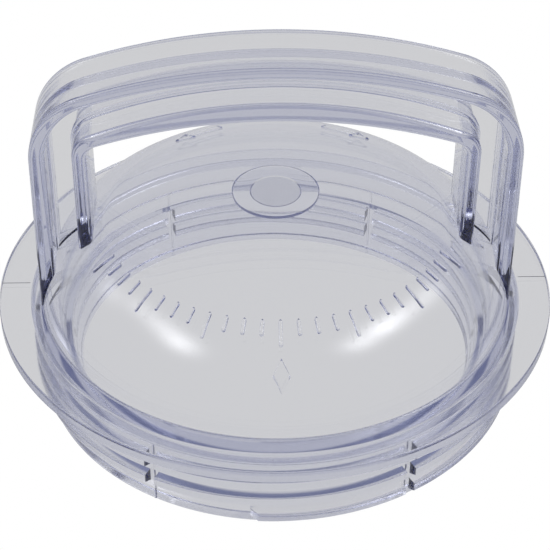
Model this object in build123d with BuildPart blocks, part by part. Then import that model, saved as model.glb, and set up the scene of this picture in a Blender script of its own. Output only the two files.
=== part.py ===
"""Clear moulded lid for the strainer pot of a pool pump.

Frame: millimetres, +Z up, origin at the centre of the skirt's lower rim.
The handle runs along X, and the front of the lid is -Y.

The real lid is one clear moulding. Each node below is one moulded feature of it, and
neighbouring nodes meet face to face, without overlapping.
"""
from build123d import *
import os
from math import cos, degrees, radians, sin, sqrt

# ---------------------------------------------------------------- driving dimensions
FLANGE_R = 100.0
FLANGE_THICK = 4.4
FLANGE_EDGE_R = 0.5
SKIRT_DEPTH = 37.5            # from the flange's top face to the lower rim

CROWN_R = 151.2               # outside radius of the spherical crown
CROWN_RISE = 43.3             # top of the crown above the flange's top face
KNUCKLE_R = 40.0              # outside radius of the dome's rounded shoulder
KNUCKLE_X = 45.0              # centre of the shoulder arc, from the axis
KNUCKLE_DROP = 6.2            # centre of the shoulder arc, below the flange's top face
DOME_WALL = 6.0

SKIRT_OUT_R = 85.3
SKIRT_IN_R = 76.1             # at the lower rim
LEDGE_R = 76.0                # lip of the ledge inside the skirt
LEDGE_DROP = 14.0             # the ledge, below the flange's top face
RIM_ROUND = 1.0
LAND_OUT_R = 88.4             # plain collar under the flange
LAND_DEPTH = 11.0             # its lower face, below the flange's top face

THREAD_R = 88.6
THREAD_ROOT_R = SKIRT_OUT_R + 0.02  # a hair clear of the skirt, so that the solids stay apart
THREAD_PITCH = 7.4
THREAD_FLANK_DROP = 0.3       # fall of the nearly level upper flank, from root to crest
THREAD_CREST = 3.4
THREAD_BASE = 5.2
THREAD_START_Z = 7.0          # of the upper flank's root
THREAD_START_DEG = -97.0
THREAD_TURNS = 2.35
LEAD_IN = radians(70.0)       # slant of the cut that points the first turn, from the radius
SECTOR_COUNT = 6
SECTOR_DEG = 360 / SECTOR_COUNT
SPLIT_GAP = 3.4               # width of the plain stripe at each split of the thread
SPLIT_RIB_W = 0.8
SPLIT_RIB_H = 0.5

HANDLE_HALF_W = 14.0
OUTER_TOP_RISE = 96.6         # handle's highest point, above the flange's top face
OUTER_THICK = 4.3
OUTER_ARCH_R = 210.0
OUTER_LEG_X = 83.5            # outer face of the leg, at the shoulder of the arch
OUTER_FOOT_X = 84.2           # the same face where it meets the flange
OUTER_CORNER_R = 27.0
OUTER_INSIDE_CORNER_R = 21.5
INNER_TOP_RISE = 83.3
INNER_THICK = 7.05            # at the middle, less towards the legs
INNER_ARCH_R = 171.1
OPENING_ARCH_R = 200.0
INNER_LEG_X = 69.0
INNER_LEG_THICK = 5.0
INNER_CORNER_R = 9.0
OPENING_CORNER_R = 5.0
LEG_THICK = 5.5
RAIL_EDGE_R = 1.8
WEB_THICK = 3.5

GATE_R = 15.0
GATE_DROP = 1.3               # thickness of the gate disc at its edge
GATE_EDGE_R = 0.5
VESTIGE_R = 8.8
VESTIGE_H = 0.4

MARK_H = 0.7                  # height of the raised marks
TICK_COUNT = 25
TICK_FIRST_DEG = 204.0
TICK_LAST_DEG = 336.0
TICK_IN_R = 61.0
TICK_LONG = 8.0
TICK_SHORT = 5.0
TICK_W = 1.3
LONG_TICK_EVERY = 4
POINTER_TOP_R = 72.3
POINTER_WIDE_R = 75.8
POINTER_TIP_R = 79.2
POINTER_HALF_W = 3.1
ARROW_R = 56.5
ARROW_HALF_W = 1.9
ARROW_HEAD_HALF_W = 4.2
ARROW_FROM_DEG = 110.0
ARROW_HEAD_DEG = 123.0
ARROW_TIP_DEG = 130.0
ARROW_LINE_W = 0.9
ARROW_STEPS = 8

# ---------------------------------------------------------------- worked-out places
FLANGE_TOP = SKIRT_DEPTH
FLANGE_BOTTOM = FLANGE_TOP - FLANGE_THICK
LAND_BOTTOM = FLANGE_TOP - LAND_DEPTH
LEDGE_Z = FLANGE_TOP - LEDGE_DROP
CROWN_TOP = FLANGE_TOP + CROWN_RISE
CROWN_Z = CROWN_TOP - CROWN_R          # centre of the crown's sphere
KNUCKLE_Z = FLANGE_TOP - KNUCKLE_DROP  # centre of the shoulder arc
SPREAD = sqrt(KNUCKLE_X**2 + (KNUCKLE_Z - CROWN_Z) ** 2)
SPLIT_COS = KNUCKLE_X / SPREAD         # direction in which crown and shoulder meet
SPLIT_SIN = (KNUCKLE_Z - CROWN_Z) / SPREAD
WAIST_R = KNUCKLE_X + KNUCKLE_R - DOME_WALL
HANDLE_TOP = FLANGE_TOP + OUTER_TOP_RISE
TRIM_Z = FLANGE_TOP - 3.0              # legs are drawn down to here, then trimmed

os.makedirs("parts", exist_ok=True)


def crown_point(radius):
    """Where the crown of that radius meets the shoulder arc, as (r, z)."""
    return (radius * SPLIT_COS, CROWN_Z + radius * SPLIT_SIN)


def crown_mid(radius):
    """A point half way along the crown's arc."""
    r = radius * SPLIT_COS / 2
    return (r, CROWN_Z + sqrt(radius**2 - r**2))


def shoulder_foot(radius):
    """Where the shoulder arc of that radius meets the flange's top plane."""
    return (KNUCKLE_X + sqrt(radius**2 - KNUCKLE_DROP**2), FLANGE_TOP)


def shoulder_mid(radius):
    """A point on the shoulder arc between the crown and the flange."""
    angle = radians(37.0)
    return (KNUCKLE_X + radius * cos(angle), KNUCKLE_Z + radius * sin(angle))


def arch_z(x, top, radius):
    """Height of an arch of that radius and highest point, at x."""
    return top - radius + sqrt(radius**2 - x**2)


def on_circle(radius, azimuth):
    """The point at that azimuth, in degrees, on a circle about the lid's axis."""
    return (radius * cos(radians(azimuth)), radius * sin(radians(azimuth)))


def finish(piece, name):
    """Label a finished piece and write its STEP file."""
    piece.part.label = name
    export_step(piece.part, f"parts/{name}.step")


# ---------------------------------------------------------------- trimming tools
# Everything under the outside of dome and flange, filled solid.
with BuildPart() as dome_blank:
    with BuildSketch(Plane.XZ):
        with BuildLine():
            start = (0, CROWN_TOP)
            rim = shoulder_foot(KNUCKLE_R)
            ThreePointArc(start, crown_mid(CROWN_R), crown_point(CROWN_R))
            ThreePointArc(crown_point(CROWN_R), shoulder_mid(KNUCKLE_R), rim)
            Polyline(rim, (FLANGE_R, FLANGE_TOP), (FLANGE_R, FLANGE_BOTTOM), (0, FLANGE_BOTTOM), start)
        make_face()
    revolve(axis=Axis.Z)

# The hollow under the dome, filled solid.
inner_crown_r = CROWN_R - DOME_WALL
inner_knuckle_r = KNUCKLE_R - DOME_WALL
with BuildPart() as hollow_blank:
    with BuildSketch(Plane.XZ):
        with BuildLine():
            start = (0, CROWN_Z + inner_crown_r)
            rim = shoulder_foot(inner_knuckle_r)
            ThreePointArc(start, crown_mid(inner_crown_r), crown_point(inner_crown_r))
            ThreePointArc(crown_point(inner_crown_r), shoulder_mid(inner_knuckle_r), rim)
            Polyline(rim, (0, FLANGE_TOP), start)
        make_face()
    revolve(axis=Axis.Z)

# A skin of the height of the raised marks, all over the outside of the dome.
with BuildPart() as mark_skin:
    with BuildSketch(Plane.XZ):
        with BuildLine():
            top = (0, CROWN_TOP + MARK_H)
            rim = shoulder_foot(KNUCKLE_R + MARK_H)
            ThreePointArc(top, crown_mid(CROWN_R + MARK_H), crown_point(CROWN_R + MARK_H))
            ThreePointArc(crown_point(CROWN_R + MARK_H), shoulder_mid(KNUCKLE_R + MARK_H), rim)
            Polyline(rim, (0, FLANGE_TOP), top)
        make_face()
    revolve(axis=Axis.Z)
    add(dome_blank.part, mode=Mode.SUBTRACT)

# ---------------------------------------------------------------- dome
with BuildPart() as dome_crown:
    with BuildSketch(Plane.XZ):
        with BuildLine():
            outer_top = (0, CROWN_TOP)
            inner_top = (0, CROWN_Z + inner_crown_r)
            ThreePointArc(outer_top, crown_mid(CROWN_R), crown_point(CROWN_R))
            Line(crown_point(CROWN_R), crown_point(inner_crown_r))
            ThreePointArc(crown_point(inner_crown_r), crown_mid(inner_crown_r), inner_top)
            Line(inner_top, outer_top)
        make_face()
    revolve(axis=Axis.Z)
finish(dome_crown, "dome_crown")

with BuildPart() as dome_shoulder:
    with BuildSketch(Plane.XZ):
        with BuildLine():
            outer_foot = shoulder_foot(KNUCKLE_R)
            inner_foot = shoulder_foot(inner_knuckle_r)
            ThreePointArc(crown_point(CROWN_R), shoulder_mid(KNUCKLE_R), outer_foot)
            Line(outer_foot, inner_foot)
            ThreePointArc(inner_foot, shoulder_mid(inner_knuckle_r), crown_point(inner_crown_r))
            Line(crown_point(inner_crown_r), crown_point(CROWN_R))
        make_face()
    revolve(axis=Axis.Z)
finish(dome_shoulder, "dome_shoulder")

# ---------------------------------------------------------------- flange, collar and skirt
with BuildPart() as flange:
    with BuildSketch(Plane.XY.offset(FLANGE_BOTTOM)):
        Circle(FLANGE_R)
        Circle(SKIRT_OUT_R, mode=Mode.SUBTRACT)
    extrude(amount=FLANGE_THICK)
    fillet(flange.edges().filter_by(GeomType.CIRCLE).sort_by(SortBy.RADIUS)[-2:], FLANGE_EDGE_R)
finish(flange, "flange")

with BuildPart() as sealing_collar:
    with BuildSketch(Plane.XY.offset(LAND_BOTTOM)):
        Circle(LAND_OUT_R)
        Circle(SKIRT_OUT_R, mode=Mode.SUBTRACT)
    extrude(amount=FLANGE_BOTTOM - LAND_BOTTOM)
    chamfer(sealing_collar.edges().group_by(Axis.Z)[0].sort_by(SortBy.RADIUS)[-1], 0.8)
finish(sealing_collar, "sealing_collar")

with BuildPart() as skirt:
    with BuildSketch(Plane.XZ):
        with BuildLine():
            waist = (WAIST_R, KNUCKLE_Z)
            inner_foot = shoulder_foot(inner_knuckle_r)
            mid_angle = radians(5.0)
            waist_mid = (
                KNUCKLE_X + inner_knuckle_r * cos(mid_angle),
                KNUCKLE_Z + inner_knuckle_r * sin(mid_angle),
            )
            ThreePointArc(inner_foot, waist_mid, waist)
            Polyline(
                waist,
                (WAIST_R, LEDGE_Z),
                (LEDGE_R, LEDGE_Z),
                (SKIRT_IN_R, 0),
                (SKIRT_OUT_R, 0),
                (SKIRT_OUT_R, FLANGE_TOP),
                inner_foot,
            )
        make_face()
    revolve(axis=Axis.Z)
    fillet(skirt.edges().group_by(Axis.Z)[0], RIM_ROUND)
finish(skirt, "skirt")

# ---------------------------------------------------------------- thread
# One right-hand external thread, broken at the six splits of the mould.
half_gap = degrees(SPLIT_GAP / SKIRT_OUT_R) / 2


def thread_run(from_deg, to_deg, pointed):
    """A stretch of thread between two azimuths; a pointed one rises from nothing."""
    span = to_deg - from_deg
    start_z = THREAD_START_Z + THREAD_PITCH * (from_deg - THREAD_START_DEG) / 360
    with BuildPart() as run:
        with BuildLine():
            path = Helix(THREAD_PITCH, THREAD_PITCH * span / 360, THREAD_ROOT_R)
        with BuildSketch(Plane.XZ):
            with BuildLine():
                Polyline(
                    (THREAD_ROOT_R, -THREAD_BASE),
                    (THREAD_R, -THREAD_FLANK_DROP - THREAD_CREST),
                    (THREAD_R, -THREAD_FLANK_DROP),
                    (THREAD_ROOT_R, 0),
                    close=True,
                )
            make_face()
        sweep(path=path.edge(), is_frenet=True)
        if pointed:
            # an upright slanting cut through the root of the thread's first end
            slant = Plane(origin=(SKIRT_OUT_R, 0.1, 0), x_dir=(0, 0, 1), z_dir=(-sin(LEAD_IN), cos(LEAD_IN), 0))
            split(bisect_by=slant, keep=Keep.TOP)
    return run.part.moved(Location((0, 0, start_z), (0, 0, from_deg)))


thread_end_deg = THREAD_START_DEG + 360 * THREAD_TURNS
for sector in range(SECTOR_COUNT):
    runs = []
    for turn in range(-1, 3):
        low = sector * SECTOR_DEG + 360 * turn + half_gap
        high = (sector + 1) * SECTOR_DEG + 360 * turn - half_gap
        starts_here = low < THREAD_START_DEG < high
        low = max(low, THREAD_START_DEG)
        high = min(high, thread_end_deg)
        if high - low > 2 * half_gap:
            runs.append(thread_run(low, high, starts_here))
    with BuildPart() as thread_sector:
        add(runs)
    finish(thread_sector, f"thread_sector_{sector + 1}")

# A fine upright rib in each gap of the thread, where the mould's segments meet.
with BuildPart() as split_ribs:
    with BuildSketch(Plane.XY.offset(RIM_ROUND)):
        with PolarLocations(SKIRT_OUT_R, SECTOR_COUNT):
            Rectangle(2 * SPLIT_RIB_H, SPLIT_RIB_W)
        Circle(SKIRT_OUT_R, mode=Mode.SUBTRACT)
    extrude(amount=LAND_BOTTOM - RIM_ROUND)
finish(split_ribs, "split_ribs")

# ---------------------------------------------------------------- handle
outer_top = HANDLE_TOP
outer_in_top = HANDLE_TOP - OUTER_THICK
outer_in_arch = OUTER_ARCH_R - OUTER_THICK
outer_in_x = OUTER_LEG_X - LEG_THICK
inner_top = FLANGE_TOP + INNER_TOP_RISE
inner_in_top = inner_top - INNER_THICK
inner_in_x = INNER_LEG_X - INNER_LEG_THICK


def arch_face(top, radius, leg_x, foot_x, corner):
    """The filled arch under one contour of the handle, down to the trimming height."""
    with BuildSketch() as face:
        shoulder = arch_z(leg_x, top, radius)
        with BuildLine():
            ThreePointArc((-leg_x, shoulder), (0, top), (leg_x, shoulder))
            Polyline((leg_x, shoulder), (foot_x, TRIM_Z), (-foot_x, TRIM_Z), (-leg_x, shoulder))
        make_face()
        fillet(face.vertices().group_by(Axis.Y)[-1], corner)
    return face.sketch


contour_1 = arch_face(outer_top, OUTER_ARCH_R, OUTER_LEG_X, OUTER_FOOT_X, OUTER_CORNER_R)
contour_2 = arch_face(outer_in_top, outer_in_arch, outer_in_x, outer_in_x, OUTER_INSIDE_CORNER_R)
contour_3 = arch_face(inner_top, INNER_ARCH_R, INNER_LEG_X, INNER_LEG_X, INNER_CORNER_R)
contour_4 = arch_face(inner_in_top, OPENING_ARCH_R, inner_in_x, inner_in_x, OPENING_CORNER_R)


def rail(outside, inside):
    """A bent plate between two contours, with rounded edges, standing on the dome."""
    with BuildPart() as plate:
        with BuildSketch(Plane.XZ):
            add(outside)
            add(inside, mode=Mode.SUBTRACT)
        extrude(amount=HANDLE_HALF_W, both=True)
        sides = plate.faces().filter_by(Axis.Y)
        rims = sides.edges().filter_by(lambda edge: edge.center().Z > TRIM_Z + 1)
        fillet(rims, RAIL_EDGE_R)
        add(dome_blank.part, mode=Mode.SUBTRACT)
    return plate


handle_outer_rail = rail(contour_1, contour_2)
finish(handle_outer_rail, "handle_outer_rail")

handle_inner_rail = rail(contour_3, contour_4)
finish(handle_inner_rail, "handle_inner_rail")

with BuildPart() as handle_web:
    with BuildSketch(Plane.XZ):
        add(contour_2)
        add(contour_3, mode=Mode.SUBTRACT)
    extrude(amount=WEB_THICK / 2, both=True)
    add(dome_blank.part, mode=Mode.SUBTRACT)
finish(handle_web, "handle_web")

# ---------------------------------------------------------------- gate disc under the crown
gate_edge_z = CROWN_Z + sqrt(inner_crown_r**2 - GATE_R**2)
gate_bottom = gate_edge_z - GATE_DROP
with BuildPart() as gate_disc:
    with BuildSketch(Plane.XY.offset(gate_bottom)):
        Circle(GATE_R)
    extrude(amount=CROWN_TOP - gate_bottom)
    fillet(gate_disc.edges().group_by(Axis.Z)[0], GATE_EDGE_R)
    add(hollow_blank.part, mode=Mode.INTERSECT)
finish(gate_disc, "gate_disc")

with BuildPart() as gate_vestige:
    with BuildSketch(Plane.XY.offset(gate_bottom)):
        Circle(VESTIGE_R)
    extrude(amount=-VESTIGE_H)
    fillet(gate_vestige.edges().group_by(Axis.Z)[0], VESTIGE_H / 2)
finish(gate_vestige, "gate_vestige")

# ---------------------------------------------------------------- raised marks on the dome
with BuildPart() as tick_marks:
    tick_step = (TICK_LAST_DEG - TICK_FIRST_DEG) / (TICK_COUNT - 1)
    with BuildSketch(Plane.XY.offset(FLANGE_TOP)):
        for number in range(TICK_COUNT):
            length = TICK_LONG if number % LONG_TICK_EVERY == 0 else TICK_SHORT
            azimuth = TICK_FIRST_DEG + number * tick_step
            with Locations(Location(on_circle(TICK_IN_R + length / 2, azimuth), azimuth)):
                SlotOverall(length, TICK_W)
    extrude(amount=CROWN_RISE + MARK_H)
    add(mark_skin.part, mode=Mode.INTERSECT)
finish(tick_marks, "tick_marks")

with BuildPart() as front_pointer:
    with BuildSketch(Plane.XY.offset(FLANGE_TOP)):
        with BuildLine():
            Polyline(
                (0, -POINTER_TOP_R),
                (POINTER_HALF_W, -POINTER_WIDE_R),
                (0, -POINTER_TIP_R),
                (-POINTER_HALF_W, -POINTER_WIDE_R),
                close=True,
            )
        make_face()
    extrude(amount=CROWN_RISE)
    add(mark_skin.part, mode=Mode.INTERSECT)
finish(front_pointer, "front_pointer")


def arrow_outline():
    """Outline of the bent arrow: out along one side, round the head, back along the other."""
    span = ARROW_HEAD_DEG - ARROW_FROM_DEG
    angles = [ARROW_FROM_DEG + span * step / ARROW_STEPS for step in range(ARROW_STEPS + 1)]
    outer_side = [on_circle(ARROW_R + ARROW_HALF_W, angle) for angle in angles]
    inner_side = [on_circle(ARROW_R - ARROW_HALF_W, angle) for angle in reversed(angles)]
    head = [
        on_circle(ARROW_R + ARROW_HEAD_HALF_W, ARROW_HEAD_DEG),
        on_circle(ARROW_R, ARROW_TIP_DEG),
        on_circle(ARROW_R - ARROW_HEAD_HALF_W, ARROW_HEAD_DEG),
    ]
    return outer_side + head + inner_side


with BuildPart() as turn_arrow_left:
    with BuildSketch(Plane.XY.offset(FLANGE_TOP)):
        with BuildLine():
            Polyline(*arrow_outline(), close=True)
        make_face()
        offset(amount=-ARROW_LINE_W, kind=Kind.INTERSECTION, mode=Mode.SUBTRACT)
    extrude(amount=CROWN_RISE + MARK_H)
    add(mark_skin.part, mode=Mode.INTERSECT)
finish(turn_arrow_left, "turn_arrow_left")

with BuildPart() as turn_arrow_right:
    add(turn_arrow_left.part)
    mirror(about=Plane.YZ, mode=Mode.REPLACE)
finish(turn_arrow_right, "turn_arrow_right")
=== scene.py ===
"""Looks of the clear pump-pot lid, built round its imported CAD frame.

The real lid is one transparent moulding, so the shown lid is one watertight mesh: light has to
pass from dome to skirt to handle with no face in between. It is put together from a lathed
shell, a lofted handle, the thread and the small raised features, all in one clear plastic.
Sizes are in millimetres until MM turns them into metres.
"""
import math

import bmesh
import bpy
from mathutils import Matrix, Vector


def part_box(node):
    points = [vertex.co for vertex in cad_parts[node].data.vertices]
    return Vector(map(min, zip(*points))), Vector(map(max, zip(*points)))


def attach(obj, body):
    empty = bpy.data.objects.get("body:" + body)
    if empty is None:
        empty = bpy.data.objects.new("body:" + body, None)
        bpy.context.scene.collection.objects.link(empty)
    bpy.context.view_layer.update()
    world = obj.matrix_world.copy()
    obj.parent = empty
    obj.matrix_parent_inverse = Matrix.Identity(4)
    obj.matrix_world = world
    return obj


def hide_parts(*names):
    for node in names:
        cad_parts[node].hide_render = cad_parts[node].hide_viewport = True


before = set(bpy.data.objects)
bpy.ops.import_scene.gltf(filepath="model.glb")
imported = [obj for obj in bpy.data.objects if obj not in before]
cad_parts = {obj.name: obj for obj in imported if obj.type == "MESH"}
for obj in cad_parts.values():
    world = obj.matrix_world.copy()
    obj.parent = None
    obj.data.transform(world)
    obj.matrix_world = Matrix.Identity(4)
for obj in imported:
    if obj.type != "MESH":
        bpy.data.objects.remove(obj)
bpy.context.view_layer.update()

MM = 0.001


def node_box(node):
    """A CAD node's lowest and highest corners, in millimetres."""
    low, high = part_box(node)
    return Vector(low) / MM, Vector(high) / MM


# ------------------------------------------------------------------ sizes read from the frame
flange_low, flange_high = node_box("flange")
collar_low, collar_high = node_box("sealing_collar")
_, skirt_high = node_box("skirt")
_, crown_high = node_box("dome_crown")
_, outer_high = node_box("handle_outer_rail")
_, inner_high = node_box("handle_inner_rail")
_, web_high = node_box("handle_web")
gate_low, gate_high = node_box("gate_disc")
vestige_low, vestige_high = node_box("gate_vestige")

FLANGE_R = flange_high.x
FLANGE_TOP = flange_high.z
FLANGE_BOTTOM = flange_low.z
COLLAR_R = collar_high.x
COLLAR_BOTTOM = collar_low.z
SKIRT_R = skirt_high.x
CROWN_TOP = crown_high.z
HANDLE_HALF_W = outer_high.y
HANDLE_TOP = outer_high.z
OUTER_FOOT_X = outer_high.x
INNER_LEG_X = inner_high.x
INNER_TOP = inner_high.z
WEB_HALF = web_high.y
GATE_R = gate_high.x
GATE_BOTTOM = gate_low.z
VESTIGE_R = vestige_high.x
VESTIGE_BOTTOM = vestige_low.z

# ------------------------------------------------------------------ sizes of the design
CROWN_R = 151.2
KNUCKLE_R = 40.0
KNUCKLE_X = 45.0
KNUCKLE_DROP = 6.2
WALL = 6.0
SKIRT_IN_R = 76.1             # at the lower rim
LEDGE_R = 76.0
LEDGE_DROP = 14.0
LEDGE_ROUND = 0.5
EDGE_R = 0.5
RIM_ROUND = 1.0
FOOT_FILLET = 1.0
COLLAR_CHAMFER = 0.8
GATE_EDGE_R = 0.5
FLAT_FROM_R = SKIRT_R + 5.0   # the flange's top is flat from here outwards

THREAD_R = 88.6
THREAD_PITCH = 7.4
THREAD_FLANK_DROP = 0.3       # fall of the nearly level upper flank, from root to crest
THREAD_CREST = 3.4
THREAD_BASE = 5.2
THREAD_ROUND = 0.35
THREAD_UNDER_DEG = -60.0      # where the crest's lower and upper rounds meet the flanks
THREAD_OVER_DEG = 85.0
THREAD_BITE = 0.8             # how deep the thread's root is sunk into the skirt
THREAD_START_Z = 7.0
THREAD_START_DEG = -97.0
THREAD_TURNS = 2.35
LEAD_IN_DEG = 2.2             # the first turn rises to full height over about this angle
LEAD_IN_HEIGHT = 0.2          # share of full height at which it starts
SPLITS = 6
SPLIT_GAP = 3.4
SPLIT_RIB_W = 0.8
SPLIT_RIB_H = 0.5
OVERLAP = 0.05                # from a rib's lower end to the rim's round, and into the collar

OUTER_THICK = 4.3
LEG_THICK = 5.5
OUTER_ARCH_R = 210.0
OUTER_LEG_X = 83.5
OUTER_CORNER_R = 27.0
OUTER_INSIDE_CORNER_R = 21.5
INNER_THICK = 7.05
INNER_ARCH_R = 171.1
OPENING_ARCH_R = 200.0
INNER_CORNER_R = 9.0
INNER_LEG_THICK = 5.0
OPENING_CORNER_R = 5.0
RAIL_EDGE_R = 1.8
WEB_FILLET = 1.2
# Feet of the handle's four outlines, above the flange's top. Each ends inside the flange or the
# dome's wall.
OUTER_FOOT = -2.0
OUTER_INSIDE_FOOT = 6.5
INNER_FOOT = 21.0
OPENING_FOOT = 24.7

KNUCKLE_Z = FLANGE_TOP - KNUCKLE_DROP
CROWN_Z = CROWN_TOP - CROWN_R
SPLIT_DEG = math.degrees(math.atan2(KNUCKLE_Z - CROWN_Z, KNUCKLE_X))

# How finely each outline is divided.
LATHE_STEPS = 360
CROWN_STEPS = 36
INNER_CROWN_STEPS = 24
KNUCKLE_STEPS = 26
FOOT_STEPS = 7
RIM_STEPS = 6
FLANGE_EDGE_STEPS = 5
LEDGE_STEPS = 4
THREAD_STEP_DEG = 1.0
FEWEST_THREAD_STEPS = 4
UNDER_ROUND_STEPS = 3
OVER_ROUND_STEPS = 4
LEG_STEPS = 10
CORNER_STEPS = 28
ARCH_STEPS = 30
EDGE_STEPS = 8
FILLET_STEPS = 6


# ------------------------------------------------------------------ small geometry helpers
def arc(centre, radius, from_deg, to_deg, steps):
    """Points on an arc, both ends included."""
    points = []
    for step in range(steps + 1):
        angle = math.radians(from_deg + (to_deg - from_deg) * step / steps)
        points.append((centre[0] + radius * math.cos(angle), centre[1] + radius * math.sin(angle)))
    return points


def on_circle(radius, azimuth, z=0.0):
    """The point at that radius and azimuth, in degrees, about the lid's axis."""
    angle = math.radians(azimuth)
    return Vector((radius * math.cos(angle), radius * math.sin(angle), z))


def dome_z(r, proud=0.0):
    """Height of the dome's outside, or of a surface that far proud of it, at radius r."""
    crown = CROWN_R + proud
    knuckle = KNUCKLE_R + proud
    if r < crown * math.cos(math.radians(SPLIT_DEG)):
        return CROWN_Z + math.sqrt(crown**2 - r**2)
    return KNUCKLE_Z + math.sqrt(max(knuckle**2 - (r - KNUCKLE_X) ** 2, 0.0))


def skin(bm, rings, caps=True):
    """Quads between neighbouring rings of vertices, with the first and last ring filled."""
    count = len(rings[0])
    for low, high in zip(rings, rings[1:]):
        for k in range(count):
            n = (k + 1) % count
            bm.faces.new((low[k], low[n], high[n], high[k]))
    if caps:
        bm.faces.new(list(reversed(rings[0])))
        bm.faces.new(rings[-1])


def make_object(name, bm, material):
    """An object in metres from a mesh built in millimetres."""
    bmesh.ops.recalc_face_normals(bm, faces=bm.faces)
    bmesh.ops.scale(bm, vec=(MM, MM, MM), verts=bm.verts)
    mesh = bpy.data.meshes.new(name)
    bm.to_mesh(mesh)
    bm.free()
    mesh.materials.append(material)
    piece = bpy.data.objects.new(name, mesh)
    bpy.context.collection.objects.link(piece)
    return piece


# ------------------------------------------------------------------ materials
# One clear plastic throughout, with a faint violet-blue absorption. It is a single material, so
# that light which enters at one feature and leaves at another is absorbed all the way and no
# further. Each zone of the moulding has its own polish.
PLASTIC_IOR = 1.57
PLASTIC_TONE = (0.985, 0.987, 0.995, 1.0)
TINT = (0.24, 0.29, 0.61, 1.0)
TINT_DENSITY = 16.0
POLISH = 0.0
SKIRT_HAZE = 0.05
THREAD_HAZE = 0.10
GRIP_HAZE = 0.04
SCAR_HAZE = 0.22
SCUFF = 0.03
SCUFF_SCALE = 90.0
SCUFF_DETAIL = 5.0
FLOW_SCALE = 28.0
FLOW_DETAIL = 1.5
FLOW_RIPPLE = 0.03
GRIP_FROM_Z = CROWN_TOP + 1.5
LEG_FROM_X = 63.0
LEG_FROM_Z = FLANGE_TOP + 13.0
ZONE_MARGIN = 0.1             # how far past its own face a zone reaches


def calc(tree, operation, *terms):
    """A math node whose inputs are numbers or other nodes' outputs."""
    node = tree.nodes.new("ShaderNodeMath")
    node.operation = operation
    for socket, term in zip(node.inputs, terms):
        if isinstance(term, (int, float)):
            socket.default_value = term
        else:
            tree.links.new(term, socket)
    return node.outputs["Value"]


def noise(tree, scale, detail):
    """Noise that stays with the lid, from 0 to 1."""
    texture = tree.nodes.new("ShaderNodeTexNoise")
    texture.inputs["Scale"].default_value = scale
    texture.inputs["Detail"].default_value = detail
    place = tree.nodes.new("ShaderNodeTexCoord")
    tree.links.new(place.outputs["Object"], texture.inputs["Vector"])
    return texture.outputs["Fac"]


def axis_distances(tree):
    """How far a point is from the lid's axis, from the YZ and XZ planes, and above the bench."""
    place = tree.nodes.new("ShaderNodeTexCoord")
    split = tree.nodes.new("ShaderNodeSeparateXYZ")
    tree.links.new(place.outputs["Object"], split.inputs["Vector"])
    x, y, z = split.outputs
    radius = calc(tree, "SQRT", calc(tree, "MULTIPLY_ADD", x, x, calc(tree, "MULTIPLY", y, y)))
    return radius, calc(tree, "ABSOLUTE", x), calc(tree, "ABSOLUTE", y), z


def haze_by_zone(tree):
    """Roughness of the polished window, the skirt, the thread, the grip and the gate's scar."""
    radius, across, _, z = axis_distances(tree)
    on_skirt = calc(tree, "LESS_THAN", z, (FLANGE_TOP + ZONE_MARGIN) * MM)
    off_wall = calc(tree, "GREATER_THAN", radius, (SKIRT_R + ZONE_MARGIN) * MM)
    under_collar = calc(tree, "LESS_THAN", z, (COLLAR_BOTTOM + ZONE_MARGIN) * MM)
    on_thread = calc(tree, "MULTIPLY", off_wall, under_collar)
    on_grip = calc(tree, "GREATER_THAN", z, GRIP_FROM_Z * MM)
    beside = calc(tree, "GREATER_THAN", across, LEG_FROM_X * MM)
    on_leg = calc(tree, "MULTIPLY", beside, calc(tree, "GREATER_THAN", z, LEG_FROM_Z * MM))
    near_axis = calc(tree, "LESS_THAN", radius, (VESTIGE_R + ZONE_MARGIN) * MM)
    under_disc = calc(tree, "LESS_THAN", z, (GATE_BOTTOM + ZONE_MARGIN) * MM)
    on_scar = calc(tree, "MULTIPLY", near_axis, under_disc)
    haze = calc(tree, "MULTIPLY_ADD", noise(tree, SCUFF_SCALE, SCUFF_DETAIL), SCUFF, POLISH)
    for zone, extra in (
        (on_skirt, SKIRT_HAZE),
        (on_thread, THREAD_HAZE),
        (calc(tree, "MAXIMUM", on_grip, on_leg), GRIP_HAZE),
        (on_scar, SCAR_HAZE),
    ):
        haze = calc(tree, "MULTIPLY_ADD", zone, extra, haze)
    return haze


def clear_plastic():
    """Clear moulded plastic: scuffs raise its roughness, and flow marks ripple its surface."""
    material = bpy.data.materials.new("clear_plastic")
    material.use_nodes = True
    tree = material.node_tree
    tree.nodes.clear()
    shader = tree.nodes.new("ShaderNodeBsdfPrincipled")
    shader.inputs["Base Color"].default_value = PLASTIC_TONE
    shader.inputs["IOR"].default_value = PLASTIC_IOR
    shader.inputs["Transmission Weight"].default_value = 1.0
    tree.links.new(haze_by_zone(tree), shader.inputs["Roughness"])
    bump = tree.nodes.new("ShaderNodeBump")
    bump.inputs["Strength"].default_value = FLOW_RIPPLE
    bump.inputs["Distance"].default_value = MM
    tree.links.new(noise(tree, FLOW_SCALE, FLOW_DETAIL), bump.inputs["Height"])
    tree.links.new(bump.outputs["Normal"], shader.inputs["Normal"])
    absorb = tree.nodes.new("ShaderNodeVolumeAbsorption")
    absorb.inputs["Color"].default_value = TINT
    absorb.inputs["Density"].default_value = TINT_DENSITY
    output = tree.nodes.new("ShaderNodeOutputMaterial")
    tree.links.new(shader.outputs["BSDF"], output.inputs["Surface"])
    tree.links.new(absorb.outputs["Volume"], output.inputs["Volume"])
    return material


plastic = clear_plastic()


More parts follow.
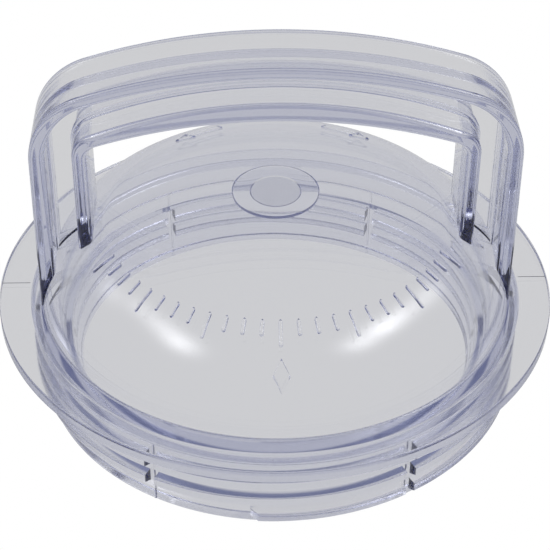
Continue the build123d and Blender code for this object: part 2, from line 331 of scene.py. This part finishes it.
# ------------------------------------------------------------------ shell, turned about the axis
def outer_profile():
    """From the top of the crown down the outside to the skirt's lower rim."""
    points = arc((0, CROWN_Z), CROWN_R, 90, SPLIT_DEG, CROWN_STEPS)
    foot_z = FLANGE_TOP + FOOT_FILLET
    foot_deg = math.degrees(math.asin((foot_z - KNUCKLE_Z) / KNUCKLE_R))
    points += arc((KNUCKLE_X, KNUCKLE_Z), KNUCKLE_R, SPLIT_DEG, foot_deg, KNUCKLE_STEPS)[1:]
    points += arc((points[-1][0] + FOOT_FILLET, foot_z), FOOT_FILLET, 180, 270, FOOT_STEPS)[1:]
    points.append((FLAT_FROM_R, FLANGE_TOP))
    edge_r = FLANGE_R - EDGE_R
    points += arc((edge_r, FLANGE_TOP - EDGE_R), EDGE_R, 90, 0, FLANGE_EDGE_STEPS)
    points += arc((edge_r, FLANGE_BOTTOM + EDGE_R), EDGE_R, 0, -90, FLANGE_EDGE_STEPS)
    points.append((COLLAR_R + FOOT_FILLET / 2, FLANGE_BOTTOM))
    points.append((COLLAR_R, FLANGE_BOTTOM - FOOT_FILLET / 2))
    points.append((COLLAR_R, COLLAR_BOTTOM + COLLAR_CHAMFER))
    points.append((COLLAR_R - COLLAR_CHAMFER, COLLAR_BOTTOM))
    points.append((SKIRT_R + RIM_ROUND / 2, COLLAR_BOTTOM))
    points.append((SKIRT_R, COLLAR_BOTTOM - RIM_ROUND / 2))
    points += arc((SKIRT_R - RIM_ROUND, RIM_ROUND), RIM_ROUND, 0, -90, RIM_STEPS)
    return points


def inner_profile():
    """From the skirt's lower rim up the inside to the gate disc's centre."""
    waist_r = KNUCKLE_X + KNUCKLE_R - WALL
    ledge_z = FLANGE_TOP - LEDGE_DROP
    points = arc((SKIRT_IN_R + RIM_ROUND, RIM_ROUND), RIM_ROUND, 270, 180, RIM_STEPS)
    points += arc((LEDGE_R + LEDGE_ROUND, ledge_z - LEDGE_ROUND), LEDGE_ROUND, 180, 90, LEDGE_STEPS)
    points.append((waist_r, ledge_z))
    points += arc((KNUCKLE_X, KNUCKLE_Z), KNUCKLE_R - WALL, 0, SPLIT_DEG, KNUCKLE_STEPS)
    gate_deg = math.degrees(math.acos(GATE_R / (CROWN_R - WALL)))
    points += arc((0, CROWN_Z), CROWN_R - WALL, SPLIT_DEG, gate_deg, INNER_CROWN_STEPS)[1:]
    gate_edge = (GATE_R - GATE_EDGE_R, GATE_BOTTOM + GATE_EDGE_R)
    points += arc(gate_edge, GATE_EDGE_R, 0, -90, LEDGE_STEPS)
    points.append((VESTIGE_R, GATE_BOTTOM))
    points.append((VESTIGE_R - (GATE_BOTTOM - VESTIGE_BOTTOM), VESTIGE_BOTTOM))
    points.append((0.0, VESTIGE_BOTTOM))
    return points


def lathe(name, profile, material):
    """A closed solid of revolution from a profile whose two ends lie on the axis."""
    bm = bmesh.new()
    rings = []
    for r, z in profile[1:-1]:
        rings.append([bm.verts.new(on_circle(r, 360 * k / LATHE_STEPS, z)) for k in range(LATHE_STEPS)])
    skin(bm, rings, caps=False)
    for pole, ring in ((profile[0], rings[0]), (profile[-1], rings[-1])):
        tip = bm.verts.new((0, 0, pole[1]))
        for k in range(LATHE_STEPS):
            bm.faces.new((tip, ring[k], ring[(k + 1) % LATHE_STEPS]))
    return make_object(name, bm, material)


# ------------------------------------------------------------------ handle
def half_contour(top, arch_r, leg_x, corner_r, foot):
    """One long outline of the handle, from the foot of its +X leg up to its middle."""
    arch_z = top - arch_r
    corner_x = leg_x - corner_r
    corner_z = arch_z + math.sqrt((arch_r - corner_r) ** 2 - corner_x**2)
    tangent = math.degrees(math.atan2(corner_z - arch_z, corner_x))
    leg = []
    for step in range(LEG_STEPS):
        share = step / LEG_STEPS
        leg.append((foot[0] + (leg_x - foot[0]) * share, foot[1] + (corner_z - foot[1]) * share))
    corner = arc((corner_x, corner_z), corner_r, 0, tangent, CORNER_STEPS)
    arch = arc((0, arch_z), arch_r, tangent, 90, ARCH_STEPS)[1:]
    return leg + corner + arch


def contour(*shape):
    """The whole outline, from the foot of the +X leg to the foot of the other."""
    half = half_contour(*shape)
    return half + [(-x, z) for x, z in reversed(half[:-1])]


def along(start, end, distance):
    """The point that far from start towards end."""
    return Vector(start) + (Vector(end) - Vector(start)).normalized() * distance


def plate_edge(near, far, radius):
    """One rounded long edge pair of a plate: (y, point) from its near face to its far face."""
    points = []
    for y, rise in arc((HANDLE_HALF_W - radius, radius), radius, -90, 0, EDGE_STEPS):
        points.append((y, along(near, far, rise)))
    for y, rise in arc((HANDLE_HALF_W - radius, -radius), radius, 0, 90, EDGE_STEPS):
        points.append((y, along(far, near, -rise)))
    return points


def web_corner(face, towards, radius, leaving):
    """The hollow fillet between a plate's face and the web, in order of travel."""
    points = []
    for y, depth in arc((WEB_HALF + radius, radius), radius, 270, 180, FILLET_STEPS):
        points.append((y, along(face, towards, depth)))
    return points if leaving else list(reversed(points))


def beam_section(p1, p2, p3, p4):
    """Half of the I-shaped section, as (y, point) pairs from the top face to the opening."""
    points = [(0.0, Vector(p1))]
    points += plate_edge(p1, p2, RAIL_EDGE_R)
    points += web_corner(p2, p3, WEB_FILLET, True)
    points += web_corner(p3, p2, WEB_FILLET, False)
    points += plate_edge(p3, p4, RAIL_EDGE_R)
    points.append((0.0, Vector(p4)))
    return points


def make_handle():
    """Outer plate, thin web and inner plate, lofted in one along the arch and both legs."""
    inside_x = OUTER_LEG_X - LEG_THICK
    opening_x = INNER_LEG_X - INNER_LEG_THICK
    outer_foot = (OUTER_FOOT_X, FLANGE_TOP + OUTER_FOOT)
    inside_foot = (inside_x, FLANGE_TOP + OUTER_INSIDE_FOOT)
    inner_foot = (INNER_LEG_X, FLANGE_TOP + INNER_FOOT)
    opening_foot = (opening_x, FLANGE_TOP + OPENING_FOOT)
    inside_top = HANDLE_TOP - OUTER_THICK
    inside_arch_r = OUTER_ARCH_R - OUTER_THICK
    contours = (
        contour(HANDLE_TOP, OUTER_ARCH_R, OUTER_LEG_X, OUTER_CORNER_R, outer_foot),
        contour(inside_top, inside_arch_r, inside_x, OUTER_INSIDE_CORNER_R, inside_foot),
        contour(INNER_TOP, INNER_ARCH_R, INNER_LEG_X, INNER_CORNER_R, inner_foot),
        contour(INNER_TOP - INNER_THICK, OPENING_ARCH_R, opening_x, OPENING_CORNER_R, opening_foot),
    )
    bm = bmesh.new()
    rings = []
    for corners in zip(*contours):
        half = beam_section(*corners)
        ring = [bm.verts.new((p.x, y, p.y)) for y, p in half]
        ring += [bm.verts.new((p.x, -y, p.y)) for y, p in reversed(half[1:-1])]
        rings.append(ring)
    skin(bm, rings)
    return make_object("handle_part", bm, plastic)


# ------------------------------------------------------------------ raised features
MARK_H = 0.7
MARK_SUNK = 0.4
TICK_COUNT = 25
TICK_FIRST_DEG = 204.0
TICK_LAST_DEG = 336.0
TICK_IN_R = 61.0
TICK_LONG = 8.0
TICK_SHORT = 5.0
TICK_W = 1.3
LONG_TICK_EVERY = 4
# Where a tick's round end has its cross-sections, as shares of the end's radius from its centre.
ROUND_END_SHARES = (-1.0, -0.85, -0.5, 0.0)
LINE_END_HALF_W = 0.05
POINTER_TOP_R = 72.3
POINTER_WIDE_R = 75.8
POINTER_TIP_R = 79.2
POINTER_HALF_W = 3.1
POINTER_TIP_HALF_W = 0.1
# The arrow's outline, along the middle of its raised line.
ARROW_R = 56.5
ARROW_HALF_W = 1.45
ARROW_BARB_HALF_W = 3.1
ARROW_TAIL_DEG = 110.5
ARROW_NECK_DEG = 123.8
ARROW_BARB_DEG = 123.5
ARROW_TIP_DEG = 129.1
ARROW_LINE_W = 0.9
ARROW_STEPS = 8
MITRE_LIMIT = 0.6             # lowest cosine by which a corner's mitre is stretched
SEAM_FROM_R = SKIRT_R + 4.0
SEAM_TO_R = FLANGE_R - EDGE_R - 0.1
SEAM_W = 0.35
SEAM_H = 0.15
# Round a raised line's section, from its left foot: share of the half width, and share of the
# height. The pointer's is steeper, with a flat top.
STROKE_SECTION = (
    (-1, 0), (1, 0), (0.95, 0.55), (0.7, 0.85), (0.3, 1), (-0.3, 1), (-0.7, 0.85), (-0.95, 0.55),
)
POINTER_SECTION = ((-1, 0), (1, 0), (0.86, 0.9), (0.8, 1), (-0.8, 1), (-0.86, 0.9))
# Round a split rib: share of its height out from the skirt, and share of its half width.
SPLIT_RIB_SECTION = ((-0.3, -1), (-0.3, 1), (0.7, 1), (1, 0.5), (1, -0.5), (0.7, -1))


def stroke(bm, stations, low_of, high_of, section=STROKE_SECTION, closed=False):
    """A raised line through stations of (centre, sideways, half width), with a narrower top."""
    rings = []
    for centre, sideways, half_w in stations:
        ring = []
        for share, rise in section:
            x, y = centre + sideways * half_w * share
            low, high = low_of(x, y), high_of(x, y)
            ring.append(bm.verts.new((x, y, low + (high - low) * rise)))
        rings.append(ring)
    if closed:
        rings.append(rings[0])
    skin(bm, rings, caps=not closed)


def flat(azimuth, radius):
    """The same point in plan."""
    return on_circle(radius, azimuth).to_2d()


def under_mark(x, y):
    """Height at which a mark's foot is sunk in the dome."""
    return dome_z(math.hypot(x, y)) - MARK_SUNK


def over_mark(x, y):
    """Height of a mark's top."""
    return dome_z(math.hypot(x, y), MARK_H)


def add_ticks(bm):
    """Radial lines with round ends, round the window's front, with every fourth one long."""
    end_r = TICK_W / 2
    round_end = [(share * end_r, end_r * math.sqrt(1 - share**2)) for share in ROUND_END_SHARES]
    for number in range(TICK_COUNT):
        azimuth = TICK_FIRST_DEG + number * (TICK_LAST_DEG - TICK_FIRST_DEG) / (TICK_COUNT - 1)
        length = TICK_LONG if number % LONG_TICK_EVERY == 0 else TICK_SHORT
        near, far = TICK_IN_R + end_r, TICK_IN_R + length - end_r
        widths = [(near + inset, half_w + LINE_END_HALF_W) for inset, half_w in round_end]
        widths.append((TICK_IN_R + length / 2, end_r))
        widths += [(far - inset, half_w + LINE_END_HALF_W) for inset, half_w in reversed(round_end)]
        sideways = flat(azimuth + 90, 1.0)
        stations = [(flat(azimuth, radius), sideways, half_w) for radius, half_w in widths]
        stroke(bm, stations, under_mark, over_mark)


def add_pointer(bm):
    """The slim diamond that marks the front."""
    corners = (
        (POINTER_TOP_R, POINTER_TIP_HALF_W),
        (POINTER_WIDE_R, POINTER_HALF_W),
        (POINTER_TIP_R, POINTER_TIP_HALF_W),
    )
    stations = [(Vector((0, -radius)), Vector((1, 0)), half_w) for radius, half_w in corners]
    stroke(bm, stations, under_mark, over_mark, POINTER_SECTION)


def add_arrow(bm, side):
    """The outline of a bent arrow, drawn as one closed raised line, on either side of the handle."""
    shaft = ARROW_NECK_DEG - ARROW_TAIL_DEG
    angles = [ARROW_TAIL_DEG + shaft * step / ARROW_STEPS for step in range(ARROW_STEPS + 1)]
    corners = [flat(angle, ARROW_R + ARROW_HALF_W) for angle in angles]
    corners.append(flat(ARROW_BARB_DEG, ARROW_R + ARROW_BARB_HALF_W))
    corners.append(flat(ARROW_TIP_DEG, ARROW_R))
    corners.append(flat(ARROW_BARB_DEG, ARROW_R - ARROW_BARB_HALF_W))
    corners += [flat(angle, ARROW_R - ARROW_HALF_W) for angle in reversed(angles)]
    corners = [Vector((side * x, y)) for x, y in corners]
    stations = []
    for k, corner in enumerate(corners):
        before = (corner - corners[k - 1]).normalized()
        after = (corners[(k + 1) % len(corners)] - corner).normalized()
        mitre = (before + after).normalized()
        sideways = Vector((-mitre.y, mitre.x))
        stretch = 1 / max(mitre.dot(after), MITRE_LIMIT)
        stations.append((corner, sideways, ARROW_LINE_W / 2 * stretch))
    stroke(bm, stations, under_mark, over_mark, closed=True)


def add_seams(bm):
    """The mould's parting line, a faint ridge over and under the flange at both sides."""
    for side in (-1, 1):
        for face, out in ((FLANGE_TOP, SEAM_H), (FLANGE_BOTTOM, -SEAM_H)):
            stations = []
            for radius in (SEAM_FROM_R, SEAM_TO_R):
                stations.append((Vector((side * radius, 0)), Vector((0, 1)), SEAM_W / 2))
            stroke(bm, stations, lambda x, y: face - out, lambda x, y: face + out)


def add_split_ribs(bm):
    """An upright rib in each gap of the thread, where the mould's segments meet."""
    for number in range(SPLITS):
        azimuth = 360 / SPLITS * number
        outward = flat(azimuth, 1.0)
        sideways = flat(azimuth + 90, 1.0)
        rings = []
        for z in (RIM_ROUND + OVERLAP, COLLAR_BOTTOM + OVERLAP):
            ring = []
            for out, share in SPLIT_RIB_SECTION:
                x, y = outward * (SKIRT_R + SPLIT_RIB_H * out) + sideways * SPLIT_RIB_W / 2 * share
                ring.append(bm.verts.new((x, y, z)))
            rings.append(ring)
        skin(bm, rings)


def make_marks():
    """Every raised mark and line: ticks, pointer, two arrows, parting lines and split ribs."""
    bm = bmesh.new()
    add_ticks(bm)
    add_pointer(bm)
    for side in (-1, 1):
        add_arrow(bm, side)
    add_seams(bm)
    add_split_ribs(bm)
    return make_object("marks_part", bm, plastic)


def thread_section(azimuth, z, height):
    """The thread's section at one azimuth: height runs from 0, level with the skirt, to 1."""
    crest_r = SKIRT_R + (THREAD_R - SKIRT_R) * height
    root_r = SKIRT_R - THREAD_BITE
    round_r = crest_r - THREAD_ROUND
    over_z = -THREAD_FLANK_DROP - THREAD_ROUND
    under_z = -THREAD_FLANK_DROP - THREAD_CREST + THREAD_ROUND
    outline = [(root_r, -THREAD_BASE), (SKIRT_R, -THREAD_BASE)]
    outline += arc((round_r, under_z), THREAD_ROUND, THREAD_UNDER_DEG, 0, UNDER_ROUND_STEPS)
    outline += arc((round_r, over_z), THREAD_ROUND, 0, THREAD_OVER_DEG, OVER_ROUND_STEPS)
    outline += [(SKIRT_R, 0.0), (root_r, 0.0)]
    return [on_circle(r, azimuth, z + dz) for r, dz in outline]


def make_thread():
    """The right-hand thread, broken by a plain stripe at each split of the mould."""
    bm = bmesh.new()
    half_gap = math.degrees(SPLIT_GAP / SKIRT_R) / 2
    sector = 360 / SPLITS
    end_deg = THREAD_START_DEG + 360 * THREAD_TURNS
    index = math.floor(THREAD_START_DEG / sector)
    while index * sector < end_deg:
        low = max(index * sector + half_gap, THREAD_START_DEG)
        high = min((index + 1) * sector - half_gap, end_deg)
        index += 1
        if high - low < 2 * half_gap:
            continue
        steps = max(FEWEST_THREAD_STEPS, round((high - low) / THREAD_STEP_DEG))
        rings = []
        for step in range(steps + 1):
            azimuth = low + (high - low) * step / steps
            z = THREAD_START_Z + THREAD_PITCH * (azimuth - THREAD_START_DEG) / 360
            height = min(1.0, LEAD_IN_HEIGHT + (azimuth - THREAD_START_DEG) / LEAD_IN_DEG)
            rings.append([bm.verts.new(p) for p in thread_section(azimuth, z, height)])
        skin(bm, rings)
    return make_object("thread_part", bm, plastic)


def union(whole, other):
    """Adds another solid to the whole, and drops the other object."""
    step = whole.modifiers.new("join", "BOOLEAN")
    step.operation = "UNION"
    step.solver = "EXACT"
    step.object = other
    bpy.context.view_layer.objects.active = whole
    bpy.ops.object.modifier_apply(modifier=step.name)
    bpy.data.objects.remove(other)


def finish_lid():
    """Joins the solids into one watertight moulding that stands for every CAD node."""
    lid = lathe("lid_moulding", outer_profile() + inner_profile(), plastic)
    for other in (make_handle(), make_thread(), make_marks()):
        union(lid, other)
    return lid


# ------------------------------------------------------------------ the finished lid
SHARP_DEG = 32                # between faces, from which an edge is shaded as sharp
FLAT_FACE_WEIGHT = 80         # how much large faces win over small ones in shading

lid = finish_lid()
lid.data.shade_smooth()
lid.data.set_sharp_from_angle(angle=math.radians(SHARP_DEG))
flat_first = lid.modifiers.new("flat_faces_keep_their_normals", "WEIGHTED_NORMAL")
flat_first.mode = "FACE_AREA"
flat_first.weight = FLAT_FACE_WEIGHT
flat_first.keep_sharp = True
bpy.context.view_layer.objects.active = lid
bpy.ops.object.modifier_apply(modifier=flat_first.name)
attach(lid, "root")
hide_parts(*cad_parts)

# ------------------------------------------------------------------ stage, lights and camera
# A light-tent studio: what the lens sees directly is a plain white sweep, while the plastic is
# lit by, and shows through itself, the tent's softer grey.
FLOOR_HALF = 4000
FLOOR_GAP = 0.05              # so that the lid's flat rim and the floor are not one plane
SWEEP_WHITE = (1.0, 1.0, 1.0)
FLOOR_GLOW = (0.66, 0.66, 0.66)
TENT_GLOW = (0.66, 0.66, 0.66)
# Shade on the bench under the rim, and darker under the handle's legs. It is full up to the first
# distance from the middle of its ring, or from the handle's own plane, and gone at the second.
RIM_SHADE = (0.20, 0.22, 0.34)
RIM_SHADE_R = 79.5
RIM_SHADE_REACH = (0.9, 2.0)
LEG_SHADE = (0.0, 0.015, 0.14)
LEG_SHADE_R = 82.6
LEG_SHADE_REACH = (1.6, 2.4)
LEG_SHADE_HALF_W = (4.0, 9.0)

# The tent's lamps, a row on either side: direction, and how bright each is above the tent's grey.
LAMPS = (
    ((-0.78, 0.33, 0.54), 1.5),
    ((-0.68, 0.12, 0.72), 2.0),
    ((-0.64, -0.09, 0.76), 3.0),
    ((-0.61, -0.27, 0.75), 4.5),
    ((-0.59, -0.38, 0.72), 2.5),
    ((0.74, 0.25, 0.63), 2.5),
    ((0.67, 0.05, 0.74), 4.0),
    ((0.61, -0.12, 0.79), 7.0),
    ((0.52, -0.33, 0.79), 4.5),
)
LAMP_SHARPNESS = 120.0        # the higher, the smaller each lamp's feathered disc


def mixed(tree, share, first, second):
    """A shader that goes from the first to the second as the share goes from 0 to 1."""
    mix = tree.nodes.new("ShaderNodeMixShader")
    tree.links.new(share, mix.inputs["Fac"])
    tree.links.new(first, mix.inputs[1])
    tree.links.new(second, mix.inputs[2])
    return mix.outputs["Shader"]


def seen_or_lit(tree, seen, lit):
    """A shader that is one thing to the lens and another to the light in the scene."""
    ray = tree.nodes.new("ShaderNodeLightPath")
    return mixed(tree, ray.outputs["Is Camera Ray"], lit, seen)


def glow(tree, kind, tone):
    """An emission or a background of one tone."""
    shader = tree.nodes.new(kind)
    shader.inputs["Color"].default_value = (*tone, 1.0)
    return shader.outputs[0]


def ease(tree, value, low, high):
    """A smooth step from 0 to 1 as a length goes from low to high, in millimetres."""
    step = tree.nodes.new("ShaderNodeMapRange")
    step.interpolation_type = "SMOOTHSTEP"
    step.inputs["From Min"].default_value = low * MM
    step.inputs["From Max"].default_value = high * MM
    tree.links.new(value, step.inputs["Value"])
    return step.outputs["Result"]


def make_floor():
    """The pale bench, with the shade that lies under the lid's rim and is deepest under the legs."""
    material = bpy.data.materials.new("pale_floor")
    material.use_nodes = True
    tree = material.node_tree
    tree.nodes.clear()
    radius, _, off_handle, _ = axis_distances(tree)
    lit = glow(tree, "ShaderNodeEmission", FLOOR_GLOW)
    from_rim = calc(tree, "ABSOLUTE", calc(tree, "SUBTRACT", radius, RIM_SHADE_R * MM))
    rim_tone = glow(tree, "ShaderNodeEmission", RIM_SHADE)
    lit = mixed(tree, ease(tree, from_rim, *RIM_SHADE_REACH), rim_tone, lit)
    from_foot = calc(tree, "ABSOLUTE", calc(tree, "SUBTRACT", radius, LEG_SHADE_R * MM))
    off_ring = ease(tree, from_foot, *LEG_SHADE_REACH)
    clear_of_foot = calc(tree, "MAXIMUM", off_ring, ease(tree, off_handle, *LEG_SHADE_HALF_W))
    leg_tone = glow(tree, "ShaderNodeEmission", LEG_SHADE)
    lit = mixed(tree, clear_of_foot, leg_tone, lit)
    seen = glow(tree, "ShaderNodeEmission", SWEEP_WHITE)
    output = tree.nodes.new("ShaderNodeOutputMaterial")
    tree.links.new(seen_or_lit(tree, seen, lit), output.inputs["Surface"])
    bm = bmesh.new()
    just_below = Matrix.Translation((0, 0, -FLOOR_GAP))
    bmesh.ops.create_grid(bm, x_segments=1, y_segments=1, size=FLOOR_HALF, matrix=just_below)
    make_object("floor", bm, material)


def make_tent():
    """The tent's even grey, with a row of feathered lamps glowing through it on either side."""
    world = bpy.data.worlds.new("tent")
    bpy.context.scene.world = world
    world.use_nodes = True
    tree = world.node_tree
    tree.nodes.clear()
    place = tree.nodes.new("ShaderNodeTexCoord")
    level = 1.0
    for towards, strength in LAMPS:
        along_lamp = tree.nodes.new("ShaderNodeVectorMath")
        along_lamp.operation = "DOT_PRODUCT"
        along_lamp.inputs[1].default_value = Vector(towards).normalized()
        tree.links.new(place.outputs["Generated"], along_lamp.inputs[0])
        nearness = along_lamp.outputs["Value"]
        fall = calc(tree, "MULTIPLY_ADD", nearness, LAMP_SHARPNESS, -LAMP_SHARPNESS)
        level = calc(tree, "MULTIPLY_ADD", calc(tree, "EXPONENT", fall), strength, level)
    lit = glow(tree, "ShaderNodeBackground", TENT_GLOW)
    tree.links.new(level, lit.node.inputs["Strength"])
    seen = glow(tree, "ShaderNodeBackground", SWEEP_WHITE)
    output = tree.nodes.new("ShaderNodeOutputWorld")
    tree.links.new(seen_or_lit(tree, seen, lit), output.inputs["Surface"])


make_floor()
make_tent()

ELEVATION = 0.6604            # of the camera's line of sight above the horizon, in radians
DISTANCE = 0.58827            # from the camera to the middle of the flange's top
YAW = 0.031
ROLL = 0.0067
FOCAL_MM = 105.13
SENSOR_MM = 36
SHIFT_UP = 0.00853
NEAR_CLIP = 0.01
LIGHT_BOUNCES = 160           # enough to come out of the handle's plates edge on
STRAIGHT_BOUNCES = 40         # through faces that let light straight through


def aim_camera():
    """A camera on the line of sight, level but for a slight turn and roll."""
    turn = Matrix.Rotation(-YAW, 3, "Z")
    right = turn @ Vector((1, 0, 0))
    up = turn @ Vector((0, math.sin(ELEVATION), math.cos(ELEVATION)))
    back = turn @ Vector((0, -math.cos(ELEVATION), math.sin(ELEVATION)))
    rolled_right = right * math.cos(ROLL) + up * math.sin(ROLL)
    rolled_up = up * math.cos(ROLL) - right * math.sin(ROLL)
    camera = bpy.data.objects.new("camera", bpy.data.cameras.new("camera"))
    bpy.context.collection.objects.link(camera)
    camera.data.lens = FOCAL_MM
    camera.data.sensor_width = SENSOR_MM
    camera.data.shift_y = SHIFT_UP
    camera.data.clip_start = NEAR_CLIP
    pose = Matrix((rolled_right, rolled_up, back)).transposed().to_4x4()
    pose.translation = back * DISTANCE + Vector((0, 0, FLANGE_TOP * MM))
    camera.matrix_world = pose
    return camera


scene = bpy.context.scene
scene.camera = aim_camera()
scene.view_settings.view_transform = "Standard"
scene.cycles.max_bounces = LIGHT_BOUNCES
scene.cycles.glossy_bounces = LIGHT_BOUNCES
scene.cycles.transmission_bounces = LIGHT_BOUNCES
scene.cycles.transparent_max_bounces = STRAIGHT_BOUNCES
scene.cycles.caustics_refractive = True
